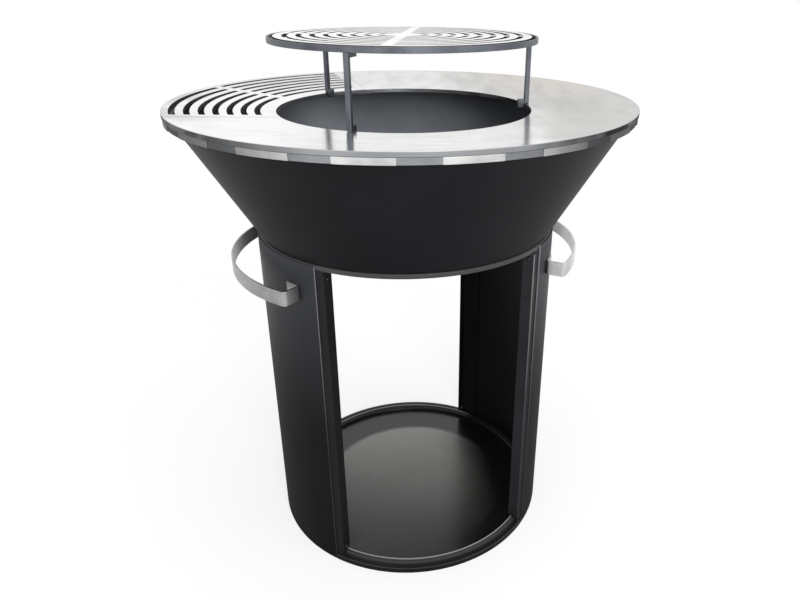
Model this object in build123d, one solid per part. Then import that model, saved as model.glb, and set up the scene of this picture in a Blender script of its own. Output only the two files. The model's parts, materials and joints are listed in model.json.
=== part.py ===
"""Round fire-plate barbecue on a drum pedestal that stores firewood, in millimetres, +Z up.

The origin is on the ground at the middle of the drum. The front opening faces -Y, the handles are on
the left (-X) and the right (+X). A bearing is an angle about Z in degrees, from +X towards +Y.
"""
import os
from math import atan2, cos, degrees, hypot, radians, sin

from build123d import *

# Gap along a welded seam between curved faces
weld_gap = 0.05

# Drum pedestal
pedestal_radius = 342.0
pedestal_height = 770.0
panel_thickness = 3.0
panel_clearance = 0.3
panel_ground_gap = 1.0
panel_top_gap = 2.0
window_half_angle = 41.2
panel_setback = 19.0

# Base ring, stepped in behind the panels, and the ledge ring inside it that carries the floor tray
base_ring_width = 20.0
base_ring_height = 14.0
panel_end_gap = 0.6
tray_ledge_width = 21.0
tray_ledge_height = 3.0

# Floor tray of the log store: a flat floor with a rolled lip round it
tray_sheet = 2.0
tray_lip_height = 18.0
tray_lip_edge_break = 0.6
tray_clearance = 0.3
tray_seam = 0.1

# Top ring, an angle section that the bowl stands on
top_ring_sheet = 3.0
top_ring_band = 10.0
bowl_seat_width = 40.0

# Corner posts, each a strip under a panel edge and a leg that points at the drum's axis
post_sheet = 3.0
post_strip_width = 49.0
post_leg_depth = 28.5
post_corner_radius = 9.0
window_corner_radius = 8.0
post_end_gap = 1.0

# Screws, nuts and lugs of the drum
screw_radius = 3.0
screw_hole_radius = 3.3
screw_head_radius = 5.25
screw_head_height = 3.3
screw_head_round = 2.3
screw_socket_flats = 4.0
screw_socket_depth = 1.9
nut_flats = 10.0
nut_height = 5.0
thread_gap = 0.05
thread_end = 1.5
lug_sheet = 3.0
lug_reach = 32.0
lug_margin = 3.0
top_screw_drop = 31.0
base_screw_rise = 18.0

# Handles, bent from flat bar
handle_bar_height = 32.0
handle_bar_thickness = 5.0
handle_half_angle = 39.0
handle_corner_reach = 44.0
handle_middle_reach = 62.0
handle_drop = 68.0
handle_tab_length = 38.0
handle_bend_radius = 3.0
handle_seat_gap = 0.2
handle_bolt_radius = 4.0
handle_bolt_hole_radius = 4.2
handle_bolt_head_flats = 13.0
handle_bolt_head_height = 5.3
handle_bolt_end_gap = 0.6
washer_radius = 8.0
washer_thickness = 1.6
washer_seat_gap = 0.15

# Fire bowl
bowl_sheet = 3.0
bowl_inset = 6.0
bowl_depth = 251.7
bowl_flange_width = 10.0
seat_gap = 0.3
locator_sheet = 4.0
locator_clearance = 2.0
locator_drop = 12.0

# Stainless rim between the bowl and the plate
rim_height = 12.5
rim_ring_width = 18.6
rim_pad_depth = 1.3
rim_pad_inset = 1.5
rim_pad_count = 18
rim_pad_angle = 11.7
rim_pad_first_bearing = -89.3
rim_pad_gap = 0.1

# Cooking plate, dished towards its fire hole
plate_radius = 500.0
plate_thickness = 9.5
plate_dish = 18.5
hole_radius = 277.0
plate_edge_break = 0.8
plate_overhang = 20.0
stop_depth = 14.0
stop_width = 15.0
stop_angle = 3.4
stop_clearance = 4.0
stop_bearings = (-133.0, -33.0, 67.0)

# Grate insert, about a quarter of the plate
insert_angle = 94.0
insert_bearing = 146.0
insert_seam = 1.0
insert_clearance = 0.3
insert_outer_rim = 14.0
insert_inner_rim = 32.0
insert_end_rim = 24.0
insert_slot = 12.0
insert_bar = 15.5
insert_spoke = 20.0
ledge_width = 30.0
ledge_thickness = 5.0
ledge_hole_gap = 15.0
ledge_rim_gap = 8.0

# Raised grate: stand and loose disc
stand_rise = 131.0
stand_ring_thickness = 5.0
stand_ring_height = 11.0
stand_edge_break = 0.7
foot_bearing_width = 8.8
stand_ring_setback = 2.3
hook_clearance = 1.2
hook_drop = 9.0
hook_rise = 10.0
hook_length = 14.8
grate_lug_length = 29.0
grate_lug_height = 13.0
leg_bearings = {"front": -122.9, "right": -2.5, "rear": 120.6}
grate_thickness = 8.0
grate_proud = 1.2
grate_clearance = 8.0
grate_edge_break = 0.6
grate_rim = 18.0
grate_slot = 11.0
grate_bar = 17.0
grate_hub_radius = 30.0
grate_spoke = 20.0
grate_spoke_bearing = -108.7

# Radii and levels that follow from the sizes above
frame_radius = pedestal_radius - panel_thickness - panel_clearance
base_inner_radius = frame_radius - base_ring_width
tray_radius = base_inner_radius - tray_clearance
tray_lip_top = tray_ledge_height + tray_lip_height
top_flange_under = pedestal_height - top_ring_sheet
top_band_under = pedestal_height - top_ring_band
strip_inner_radius = frame_radius - post_sheet
strip_angle = degrees(post_strip_width / frame_radius)
leg_inner_radius = frame_radius - post_leg_depth
screw_reach = frame_radius - post_leg_depth / 2
top_screw_level = pedestal_height - top_screw_drop
base_screw_level = base_ring_height + base_screw_rise
panel_inner_radius = pedestal_radius - panel_thickness
panel_half_angle = 90.0 - window_half_angle - degrees(panel_setback / pedestal_radius)
handle_middle_level = pedestal_height - handle_drop
bowl_base_radius = pedestal_radius - bowl_inset
bowl_floor_under = pedestal_height + seat_gap
bowl_top = bowl_floor_under + bowl_depth
bowl_rim_radius = plate_radius - plate_overhang
bowl_flare = (bowl_rim_radius - bowl_base_radius) / (bowl_depth - bowl_sheet)
seat_inner_radius = bowl_base_radius - bowl_seat_width
pad_outer_radius = plate_radius - rim_pad_inset
rim_outer_radius = pad_outer_radius - rim_pad_depth
rim_inner_radius = rim_outer_radius - rim_ring_width
plate_edge_under = bowl_top + rim_height + seat_gap
plate_edge_top = plate_edge_under + plate_thickness
leg_outer_face = hole_radius + foot_bearing_width
leg_inner_face = hole_radius - hook_clearance
leg_bar = leg_outer_face - leg_inner_face
stand_outer_radius = leg_outer_face - stand_ring_setback
stand_inner_radius = stand_outer_radius - stand_ring_thickness
stand_top = plate_edge_top + stand_rise
stand_ring_under = stand_top - stand_ring_height
grate_radius = stand_inner_radius - grate_clearance
grate_top = stand_top + grate_proud
grate_under = grate_top - grate_thickness
tall = pedestal_height + bowl_depth + stand_rise
rounding = 0.001

# Corner posts by name: bearing of the window edge, and the side of it that the panel lies on
posts = {
    "front_right": (-90.0 + window_half_angle, 1),
    "back_right": (90.0 - window_half_angle, -1),
    "back_left": (90.0 + window_half_angle, 1),
    "front_left": (-90.0 - window_half_angle, -1),
}
sides = {"right": 0.0, "left": 180.0}


def plate_under(radius):
    """Height of the dished plate's underside at a radius."""
    return plate_edge_under - plate_dish * (plate_radius - radius) / (plate_radius - hole_radius)


def plate_top(radius):
    """Height of the dished plate's cooking face at a radius."""
    return plate_under(radius) + plate_thickness


def turned(outline, start=0.0, arc=360.0):
    """Solid of revolution of (radius, height) points, from a start bearing through an arc."""
    section = Plane.XZ * Polygon(*outline, align=None)
    return at_bearing(revolve(section, Axis.Z, arc), start)


def hoop(inner, outer, bottom, top, start=0.0, arc=360.0):
    """Ring, or part of a ring, of rectangular section."""
    return turned([(inner, bottom), (outer, bottom), (outer, top), (inner, top)], start, arc)


def block(low, high):
    """Box between two opposite corners."""
    size = [b - a for a, b in zip(low, high)]
    return Pos(*low) * Box(*size, align=(Align.MIN, Align.MIN, Align.MIN))


def rod(radius, point, direction, length):
    """Round rod from a point along a direction."""
    end = (Align.CENTER, Align.CENTER, Align.MIN)
    return Plane(origin=point, z_dir=direction) * Cylinder(radius, length, align=end)


def hex_nut(flats, height, bore):
    """Plain hexagon nut that stands on the XY plane."""
    return extrude(RegularPolygon(flats / 2, 6, major_radius=False) - Circle(bore), height)


def at_post(shape, name):
    """Copy of a shape made at bearing 0, with the panel towards +Y, set at a corner post."""
    bearing, hand = posts[name]
    right_way = shape if hand > 0 else mirror(shape, about=Plane.XZ)
    return at_bearing(right_way, bearing)


def at_bearing(shape, bearing):
    """Copy of a shape turned about the drum's axis."""
    return Rot(0, 0, bearing) * shape


def polar(radius, bearing, level):
    """Point at a radius, bearing and height."""
    return (radius * cos(radians(bearing)), radius * sin(radians(bearing)), level)


def group(shapes):
    """One node of separate solids."""
    return Compound(children=list(shapes))


def button_screw(grip):
    """Socket button-head screw: its head below the XY plane, its shank up through the grip."""
    head = Pos(0, 0, -screw_head_height / 2) * Cylinder(screw_head_radius, screw_head_height)
    head = fillet(head.edges().sort_by(Axis.Z)[0], screw_head_round)
    socket = Pos(0, 0, -screw_head_height) * extrude(
        RegularPolygon(screw_socket_flats / 2, 6, major_radius=False), screw_socket_depth
    )
    return head + rod(screw_radius, (0, 0, 0), (0, 0, 1), grip + nut_height + thread_end) - socket


def corner_lug(bottom, top):
    """Upright lug at bearing 0, against the hidden face of a post's leg."""
    inner = screw_reach - lug_reach / 2 + lug_margin
    outer = strip_inner_radius - lug_margin / 2
    return block((inner, post_sheet, bottom), (outer, post_sheet + lug_sheet, top))


def corner_hole(level):
    """Clearance hole of a corner screw, through a leg and its lug."""
    start = (screw_reach, -post_sheet, level)
    return rod(screw_hole_radius, start, (0, 1, 0), 3 * post_sheet + lug_sheet)


def base_lug():
    """Lug at bearing 0 that stands on the base ring, clear of the tray's lip."""
    lug = corner_lug(base_ring_height, base_screw_level + lug_reach / 2)
    lug -= hoop(0, base_inner_radius + tray_clearance, -tall, tall)
    return lug - corner_hole(base_screw_level)


def top_lug():
    """Lug at bearing 0 that hangs from the top ring's flat seat."""
    lug = corner_lug(top_screw_level - lug_reach / 2, top_flange_under)
    return lug - corner_hole(top_screw_level)


def base_ring():
    """Heavy ring on the ground, flush with the panels across the two openings."""
    ring = hoop(base_inner_radius, pedestal_radius, 0.0, base_ring_height)
    seat_half_angle = panel_half_angle + degrees(panel_end_gap / pedestal_radius)
    for bearing in sides.values():
        start = bearing - seat_half_angle
        ring -= hoop(frame_radius, 2 * pedestal_radius, -tall, tall, start, 2 * seat_half_angle)
    return ring


def tray_ledge():
    """Flat ring inside the base ring that carries the tray."""
    return hoop(base_inner_radius - tray_ledge_width, base_inner_radius - weld_gap, 0.0, tray_ledge_height)


def tray_floor():
    """Flat sheet floor of the log store, on the ledge ring inside the lip."""
    radius = tray_radius - tray_sheet - tray_seam
    return hoop(0.0, radius, tray_ledge_height, tray_ledge_height + tray_sheet)


def tray_lip():
    """Rolled strip that stands round the tray's floor, with the sharp edges of its top broken."""
    inner = tray_radius - tray_sheet
    cut = tray_lip_edge_break
    return turned([
        (inner, tray_ledge_height),
        (tray_radius, tray_ledge_height),
        (tray_radius, tray_lip_top - cut),
        (tray_radius - cut, tray_lip_top),
        (inner + cut, tray_lip_top),
        (inner, tray_lip_top - cut),
    ])


def top_ring():
    """Angle-section ring: an outside band and a flat seat for the bowl."""
    return turned([
        (seat_inner_radius, top_flange_under),
        (frame_radius - top_ring_sheet, top_flange_under),
        (frame_radius - top_ring_sheet, top_band_under),
        (frame_radius, top_band_under),
        (frame_radius, pedestal_height),
        (seat_inner_radius, pedestal_height),
    ])


def corner_post():
    """Angle post at bearing 0: strip on the +Y side, leg towards the axis, holes for its screws."""
    strip = hoop(strip_inner_radius, frame_radius, base_ring_height, top_band_under, 0.0, strip_angle)
    leg_low = tray_lip_top + post_end_gap
    leg_high = top_band_under - post_end_gap
    outline = Polygon(
        (leg_inner_radius, leg_low),
        (frame_radius - post_sheet / 2, leg_low),
        (frame_radius - post_sheet / 2, leg_high),
        (leg_inner_radius, leg_high),
        align=None,
    )
    inner_corners = outline.vertices().sort_by(Axis.X)[:2]
    outline = fillet(inner_corners, post_corner_radius)
    leg = extrude(Plane.XZ * outline, -post_sheet)
    post = strip + leg
    corner_angle = degrees(window_corner_radius / frame_radius)
    for level, centre in (
        (top_band_under - window_corner_radius, top_band_under - window_corner_radius),
        (base_ring_height, base_ring_height + window_corner_radius),
    ):
        web = hoop(strip_inner_radius, frame_radius, level, level + window_corner_radius,
                   -corner_angle, corner_angle)
        bite_start = (leg_inner_radius, -window_corner_radius, centre)
        web -= rod(window_corner_radius, bite_start, (1, 0, 0), 2 * post_leg_depth)
        post += web
    for level in (top_screw_level, base_screw_level):
        post -= corner_hole(level)
    return post


def corner_fasteners():
    """Screw and nut at each end of a post at bearing 0."""
    grip = post_sheet + lug_sheet
    screw = button_screw(grip)
    nut = hex_nut(nut_flats, nut_height, screw_radius + thread_gap)
    screws = []
    nuts = []
    for level in (top_screw_level, base_screw_level):
        screws.append(Plane(origin=(screw_reach, 0, level), z_dir=(0, 1, 0)) * screw)
        nuts.append(Plane(origin=(screw_reach, grip, level), z_dir=(0, 1, 0)) * nut)
    return screws, nuts


def handle_tab_bearings():
    """Bearings of the two handle bolts, from the middle of a handle."""
    tab_angle = degrees(handle_tab_length / pedestal_radius)
    return [side * (handle_half_angle - tab_angle / 2) for side in (-1, 1)]


def side_panel():
    """Curved skin at bearing 0 with the handle's bolt holes."""
    panel = hoop(panel_inner_radius, pedestal_radius, panel_ground_gap, pedestal_height - panel_top_gap,
                 -panel_half_angle, 2 * panel_half_angle)
    for bearing in handle_tab_bearings():
        start = polar(panel_inner_radius - panel_thickness, bearing, handle_middle_level)
        panel -= rod(handle_bolt_hole_radius, start, polar(1, bearing, 0), 3 * panel_thickness)
    return panel


def handle():
    """Bow handle at bearing 0: two tabs on the panel, two legs out and one round bow."""
    tab_inner = pedestal_radius + handle_seat_gap
    tab_outer = tab_inner + handle_bar_thickness
    corner_radius = pedestal_radius + handle_corner_reach
    middle_radius = pedestal_radius + handle_middle_reach
    corner_x = corner_radius * cos(radians(handle_half_angle))
    corner_y = corner_radius * sin(radians(handle_half_angle))
    bow_centre = (middle_radius ** 2 - corner_radius ** 2) / (2 * (middle_radius - corner_x))
    bow_radius = middle_radius - bow_centre
    bow_half_angle = degrees(atan2(corner_y, corner_x - bow_centre))
    low = handle_middle_level - handle_bar_height / 2
    high = handle_middle_level + handle_bar_height / 2
    tab_angle = degrees(handle_tab_length / pedestal_radius)
    bar = Pos(bow_centre, 0, 0) * hoop(
        bow_radius - handle_bar_thickness, bow_radius, low, high, -bow_half_angle, 2 * bow_half_angle
    )
    leg_start = (tab_inner + tab_outer) / 2
    for side in (-1, 1):
        tab_start = handle_half_angle - tab_angle if side > 0 else -handle_half_angle
        bar += hoop(tab_inner, tab_outer, low, high, tab_start, tab_angle)
        leg_low, leg_high = sorted((0.0, -side * handle_bar_thickness))
        leg = block((leg_start, leg_low, low), (corner_radius, leg_high, high))
        bar += at_bearing(leg, side * handle_half_angle)
    outer_bend = handle_bend_radius + handle_bar_thickness
    inner_turn = degrees(handle_bar_thickness / tab_outer)
    for side in (-1, 1):
        bearing = side * handle_half_angle
        bow_inside = (corner_x - handle_bar_thickness, side * (corner_y - 2 * handle_bar_thickness))
        bends = [
            (polar(tab_outer, bearing - side * inner_turn, handle_middle_level), handle_bend_radius),
            (polar(tab_inner, bearing, handle_middle_level), outer_bend),
            ((*bow_inside, handle_middle_level), handle_bend_radius),
            (polar(corner_radius, bearing, handle_middle_level), outer_bend),
        ]
        for place, radius in bends:
            upright = bar.edges().filter_by(Axis.Z)
            bar = fillet(upright.sort_by_distance(place)[0], radius)
    for bearing in handle_tab_bearings():
        start = polar(tab_inner - handle_bar_thickness, bearing, handle_middle_level)
        bar -= rod(handle_bolt_hole_radius, start, polar(1, bearing, 0), 3 * handle_bar_thickness)
    return bar


def handle_fasteners():
    """Bolts and washers of a handle at bearing 0, put in from inside the drum."""
    seat = panel_inner_radius - washer_seat_gap
    end = pedestal_radius + handle_seat_gap + handle_bar_thickness - handle_bolt_end_gap
    shank = end - seat + washer_thickness
    bolts = []
    washers = []
    for bearing in handle_tab_bearings():
        under_head = polar(seat - washer_thickness, bearing, handle_middle_level)
        outward = Plane(origin=under_head, z_dir=polar(1, bearing, 0))
        head = extrude(
            RegularPolygon(handle_bolt_head_flats / 2, 6, major_radius=False), -handle_bolt_head_height
        )
        bolt = head + rod(handle_bolt_radius, (0, 0, 0), (0, 0, 1), shank)
        washer = extrude(Circle(washer_radius) - Circle(handle_bolt_hole_radius), washer_thickness)
        bolts.append(outward * bolt)
        washers.append(outward * washer)
    return bolts, washers


def fire_bowl():
    """Sheet steel bowl: flat floor, straight flared wall and a flat flange round its mouth."""
    wall = bowl_sheet * hypot(1, bowl_flare)
    return turned([
        (0.0, bowl_floor_under),
        (bowl_base_radius, bowl_floor_under),
        (bowl_rim_radius, bowl_top - bowl_sheet),
        (bowl_rim_radius + bowl_flange_width, bowl_top - bowl_sheet),
        (bowl_rim_radius + bowl_flange_width, bowl_top),
        (bowl_rim_radius + bowl_sheet * bowl_flare - wall, bowl_top),
        (bowl_base_radius + bowl_sheet * bowl_flare - wall, bowl_floor_under + bowl_sheet),
        (0.0, bowl_floor_under + bowl_sheet),
    ])


def bowl_locator():
    """Ring under the bowl's floor that drops inside the top ring and centres the bowl."""
    outer = seat_inner_radius - locator_clearance
    return hoop(outer - locator_sheet, outer, pedestal_height - locator_drop, bowl_floor_under)


def rim_section(inner, outer):
    """Outline of a rim piece between the bowl's flange and the dished plate."""
    return [
        (inner, bowl_top),
        (outer, bowl_top),
        (outer, plate_under(outer) - seat_gap),
        (inner, plate_under(inner) - seat_gap),
    ]


def rim_pads():
    """Thin bright pads on the rim ring's outer face."""
    section = rim_section(rim_outer_radius + rim_pad_gap, pad_outer_radius)
    step = 360.0 / rim_pad_count
    starts = [rim_pad_first_bearing - rim_pad_angle / 2 + step * index for index in range(rim_pad_count)]
    return [turned(section, start, rim_pad_angle) for start in starts]


def plate_section(under_gap):
    """Outline of the dished plate with its sharp edges broken."""
    cut = plate_edge_break
    return [
        (hole_radius, plate_under(hole_radius) + under_gap),
        (plate_radius - cut, plate_under(plate_radius - cut) + under_gap),
        (plate_radius, plate_under(plate_radius) + under_gap + cut),
        (plate_radius, plate_top(plate_radius) - cut),
        (plate_radius - cut, plate_top(plate_radius - cut)),
        (hole_radius + cut, plate_top(hole_radius + cut)),
        (hole_radius, plate_top(hole_radius) - cut),
    ]


def cooking_plate():
    """Dished round plate with the insert's sector left out."""
    start = insert_bearing + insert_angle / 2
    return turned(plate_section(0.0), start, 360.0 - insert_angle)


def insert_ledges():
    """Two flat bars under the plate's cut edges, which carry the insert."""
    inner = hole_radius + ledge_hole_gap
    outer = rim_inner_radius - ledge_rim_gap
    outline = Polygon(
        (inner, plate_under(inner) - weld_gap),
        (inner, plate_under(inner) - weld_gap - ledge_thickness),
        (outer, plate_under(outer) - weld_gap - ledge_thickness),
        (outer, plate_under(outer) - weld_gap),
        align=None,
    )
    ledge = extrude(Plane.XZ * outline, ledge_width / 2, both=True)
    return [at_bearing(ledge, insert_bearing + side * insert_angle / 2) for side in (-1, 1)]


def plate_stops():
    """Lugs under the plate, inside the bowl's mouth, that keep the plate central."""
    outer = rim_inner_radius - stop_clearance - stop_depth * bowl_flare
    inner = outer - stop_width
    bottom = plate_under(outer) - stop_depth
    section = [
        (inner, bottom),
        (outer, bottom),
        (outer, plate_under(outer) - weld_gap),
        (inner, plate_under(inner) - weld_gap),
    ]
    return [turned(section, bearing - stop_angle / 2, stop_angle) for bearing in stop_bearings]


def slot_radii(first, last, slot, bar):
    """Inner and outer radii of the concentric slots that fit between two radii, outermost first."""
    pitch = slot + bar
    count = int((last - first + bar) / pitch + rounding)
    return [(last - slot - pitch * index, last - pitch * index) for index in range(count)]


def grate_insert():
    """Sector of the plate cut with concentric slots, with rims all round and a spoke in its middle."""
    trim = degrees(insert_seam / plate_radius)
    arc = insert_angle - 2 * trim
    sector = turned(plate_section(insert_clearance), -arc / 2, arc)
    spans = slot_radii(hole_radius + insert_inner_rim, plate_radius - insert_outer_rim,
                       insert_slot, insert_bar)
    webs = block((0, -insert_spoke / 2, 0), (2 * plate_radius, insert_spoke / 2, 2 * tall))
    for side in (-1, 1):
        web = block((0, -insert_end_rim, 0), (2 * plate_radius, insert_end_rim, 2 * tall))
        webs += at_bearing(web, side * arc / 2)
    for inner, outer in spans:
        low = plate_under(inner) - plate_thickness
        high = plate_top(outer) + plate_thickness
        sector -= hoop(inner, outer, low, high, -arc / 2, arc) - webs
    return at_bearing(sector, insert_bearing)


def stand_ring():
    """Flat bar ring that keeps the loose grate in place."""
    cut = stand_edge_break
    return turned([
        (stand_inner_radius, stand_ring_under),
        (stand_outer_radius - cut, stand_ring_under),
        (stand_outer_radius, stand_ring_under + cut),
        (stand_outer_radius, stand_top - cut),
        (stand_outer_radius - cut, stand_top),
        (stand_inner_radius + cut, stand_top),
        (stand_inner_radius, stand_top - cut),
    ])


def stand_leg():
    """Square bar leg at bearing 0, from the plate's inner edge up to the ring."""
    foot = plate_top(leg_outer_face) + seat_gap
    half = leg_bar / 2
    leg = block((leg_inner_face, -half, foot), (leg_outer_face, half, stand_ring_under))
    return chamfer(leg.edges().filter_by(Axis.Z), stand_edge_break)


def inner_lug(length, low, high):
    """Block on the inner face of a stand leg at bearing 0."""
    half = leg_bar / 2 - stand_edge_break
    return block((leg_inner_face - length, -half, low), (leg_inner_face, half, high))


def grate_disc():
    """Loose round grate with concentric slots between four spokes."""
    cut = grate_edge_break
    disc = turned([
        (0.0, grate_under),
        (grate_radius, grate_under),
        (grate_radius, grate_top - cut),
        (grate_radius - cut, grate_top),
        (0.0, grate_top),
    ])
    half = grate_spoke / 2
    reach = 2 * grate_radius
    spokes = block((-reach, -half, 0), (reach, half, 2 * tall))
    spokes += block((-half, -reach, 0), (half, reach, 2 * tall))
    for inner, outer in slot_radii(grate_hub_radius, grate_radius - grate_rim, grate_slot, grate_bar):
        low = grate_under - grate_thickness
        high = grate_top + grate_thickness
        disc -= hoop(inner, outer, low, high) - spokes
    return at_bearing(disc, grate_spoke_bearing)


def all_nodes():
    """Every piece by its node name."""
    nodes = {"base_ring": base_ring()}
    nodes["tray_ledge"] = tray_ledge()
    nodes["tray_floor"] = tray_floor()
    nodes["tray_lip"] = tray_lip()
    nodes["top_ring"] = top_ring()
    nodes["base_lugs"] = group(at_post(base_lug(), name) for name in posts)
    nodes["top_lugs"] = group(at_post(top_lug(), name) for name in posts)
    post = corner_post()
    screws, nuts = corner_fasteners()
    for name in posts:
        nodes[name + "_post"] = at_post(post, name)
    nodes["post_screws"] = group(at_post(screw, name) for name in posts for screw in screws)
    nodes["post_nuts"] = group(at_post(nut, name) for name in posts for nut in nuts)
    bolts, washers = handle_fasteners()
    for side, bearing in sides.items():
        nodes[side + "_panel"] = at_bearing(side_panel(), bearing)
        nodes[side + "_handle"] = at_bearing(handle(), bearing)
    nodes["handle_bolts"] = group(at_bearing(bolt, turn) for turn in sides.values() for bolt in bolts)
    nodes["handle_washers"] = group(at_bearing(ring, turn) for turn in sides.values() for ring in washers)
    nodes["fire_bowl"] = fire_bowl()
    nodes["bowl_locator"] = bowl_locator()
    nodes["rim_ring"] = turned(rim_section(rim_inner_radius, rim_outer_radius))
    nodes["rim_pads"] = group(rim_pads())
    nodes["cooking_plate"] = cooking_plate()
    nodes["insert_ledges"] = group(insert_ledges())
    nodes["plate_stops"] = group(plate_stops())
    nodes["grate_insert"] = grate_insert()
    nodes["stand_ring"] = stand_ring()
    leg = stand_leg()
    grate_lug_top = grate_under - seat_gap
    grate_lug = inner_lug(grate_lug_length, grate_lug_top - grate_lug_height, grate_lug_top)
    hook_level = plate_top(hole_radius)
    hook = inner_lug(hook_length, hook_level - hook_drop, hook_level + hook_rise)
    for name, bearing in leg_bearings.items():
        nodes[name + "_stand_leg"] = at_bearing(leg, bearing)
    nodes["grate_lugs"] = group(at_bearing(grate_lug, bearing) for bearing in leg_bearings.values())
    nodes["hook_lugs"] = group(at_bearing(hook, bearing) for bearing in leg_bearings.values())
    nodes["grate_disc"] = grate_disc()
    return nodes


os.makedirs("parts", exist_ok=True)
for node, shape in all_nodes().items():
    export_step(shape, f"parts/{node}.step")
    print(node, len(shape.solids()))
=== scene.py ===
# %% [markdown]
# # A round fire-plate barbecue, dressed in Blender
#
# The construction is already made: every piece stands in the frame at its real size, in metres, with
# +Z up and the front of the log store towards -Y. This lesson gives those pieces rolled and broken
# edges, weld beads and finishes, one step at a time. Nothing is moved or resized on the way.

# %% Load the frame
import json
from math import atan2, cos, degrees, hypot, pi, radians, sin, sqrt, tau

import bmesh
import bpy
from mathutils import Matrix, Vector


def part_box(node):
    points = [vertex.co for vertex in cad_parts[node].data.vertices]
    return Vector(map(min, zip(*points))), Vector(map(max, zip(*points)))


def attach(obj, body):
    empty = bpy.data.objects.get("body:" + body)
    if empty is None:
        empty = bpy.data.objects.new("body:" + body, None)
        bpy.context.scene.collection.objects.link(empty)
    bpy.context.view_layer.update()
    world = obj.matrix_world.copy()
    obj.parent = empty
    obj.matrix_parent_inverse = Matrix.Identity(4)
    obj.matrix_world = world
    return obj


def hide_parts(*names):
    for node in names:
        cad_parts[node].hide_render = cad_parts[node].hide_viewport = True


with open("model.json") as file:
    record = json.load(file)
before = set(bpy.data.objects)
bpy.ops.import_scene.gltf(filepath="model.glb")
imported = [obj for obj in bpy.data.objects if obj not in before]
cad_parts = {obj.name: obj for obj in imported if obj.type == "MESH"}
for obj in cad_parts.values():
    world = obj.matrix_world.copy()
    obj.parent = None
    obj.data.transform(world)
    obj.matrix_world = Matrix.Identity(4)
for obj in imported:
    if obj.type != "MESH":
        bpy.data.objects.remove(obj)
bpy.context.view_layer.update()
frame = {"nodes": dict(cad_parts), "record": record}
body_of_node = {
    node: body for body, nodes in frame["record"]["behaviour"]["bodies"].items() for node in nodes
}

# %% [markdown]
# ## Sizes
#
# A size that the frame can tell is read from it, so the dressing follows the construction. A box gives
# outside radii and levels. Sheet thicknesses and slot widths don't show in a box, so they are named
# here, in millimetres made into metres by `mm`. The outermost and the topmost piece stay a hair inside
# the frame's box.

# %% Read the sizes
mm = 0.001


def reach(node):
    """Largest reach of a node from the middle, and its lowest and highest level."""
    low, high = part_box(node)
    return max(-low[0], -low[1], high[0], high[1]), low[2], high[2]


plate_radius, _, plate_edge_top = reach("cooking_plate")
stand_radius, stand_ring_under, stand_top = reach("stand_ring")
grate_radius, grate_under, grate_top = reach("grate_disc")
tray_floor_radius, tray_under, tray_top = reach("tray_floor")
tray_lip_radius, tray_lip_under, tray_lip_top = reach("tray_lip")
bowl_flange_radius, bowl_under, bowl_top = reach("fire_bowl")
frame_radius, top_band_under, drum_top = reach("top_ring")
hair = 0.1 * mm
plate_radius -= hair
grate_top -= hair
hole_radius = 277 * mm
plate_thickness = 9.5 * mm
plate_dish = 18.5 * mm


def polar(radius, bearing):
    """Point in plan at a radius and a bearing in degrees."""
    return Vector((radius * cos(radians(bearing)), radius * sin(radians(bearing))))


def plate_level(radius):
    """Level of the dished cooking face at a radius."""
    return plate_edge_top - plate_dish * (plate_radius - radius) / (plate_radius - hole_radius)


print("plate", round(2 * plate_radius, 3), "m across,", round(plate_edge_top, 3), "m above the ground")

# %% [markdown]
# ## Nodes written as maths
#
# Both shaders and geometry are node trees. Placing nodes one by one hides the idea, so a wire stands
# for a socket and answers to Python's own signs: `1 - mask` adds a Math node. Every other node comes
# from one method, which takes the node's type, its settings and what goes into its sockets.

# %% Wires and trees
def maths(operation, swapped=False):
    """Operator of a wire, which adds one Math node."""
    def method(self, other):
        pair = (other, self) if swapped else (self, other)
        return self.tree.node("ShaderNodeMath", {"operation": operation}, pair)
    return method


class Wire:
    """One output socket of a node, ready for Python maths."""

    def __init__(self, tree, socket):
        self.tree = tree
        self.socket = socket

    def out(self, name):
        """Another output of the same node."""
        return Wire(self.tree, self.socket.node.outputs[name])

    def does(self, operation, *others):
        """Result of a Math operation that has no sign of its own."""
        return self.tree.node("ShaderNodeMath", {"operation": operation}, (self, *others))

    def ramp(self, low, high):
        """0 below the low value, 1 above the high value, with soft ends between."""
        settings = {"interpolation_type": "SMOOTHSTEP"}
        sockets = {"Value": self, "From Min": low, "From Max": high}
        return self.tree.node("ShaderNodeMapRange", settings, sockets)

    __add__ = maths("ADD")
    __radd__ = maths("ADD", swapped=True)
    __sub__ = maths("SUBTRACT")
    __rsub__ = maths("SUBTRACT", swapped=True)
    __mul__ = maths("MULTIPLY")
    __rmul__ = maths("MULTIPLY", swapped=True)
    __truediv__ = maths("DIVIDE")
    __rtruediv__ = maths("DIVIDE", swapped=True)
    __gt__ = maths("GREATER_THAN")
    __lt__ = maths("LESS_THAN")


class Tree:
    """A node tree with one method that adds any node."""

    def __init__(self, tree):
        self.tree = tree

    def node(self, kind, settings=None, sockets=()):
        """Add a node: its settings first, then the values or wires of its sockets."""
        made = self.tree.nodes.new(kind)
        for name, value in (settings or {}).items():
            setattr(made, name, value)
        pairs = sockets.items() if isinstance(sockets, dict) else enumerate(sockets)
        for key, value in pairs:
            if isinstance(value, Wire):
                self.tree.links.new(value.socket, made.inputs[key])
            else:
                made.inputs[key].default_value = value
        return Wire(self, made.outputs[0]) if made.outputs else None

    def measure(self, operation, *vectors):
        """Number that Vector Math gets from vectors: a length, a distance or a dot product."""
        return self.node("ShaderNodeVectorMath", {"operation": operation}, vectors).out("Value")


print("wires and trees are ready")

# %% [markdown]
# ## What every finish shares
#
# A finish is one Principled shader. Numbers that are the same all over the surface are set on its
# sockets. What varies is noise with a real size, read in object coordinates, so that a grain of half a
# millimetre is half a millimetre on every piece. Masks read the same coordinates: `across` grows to the
# right, `back` towards the back and `height` upwards.

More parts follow.
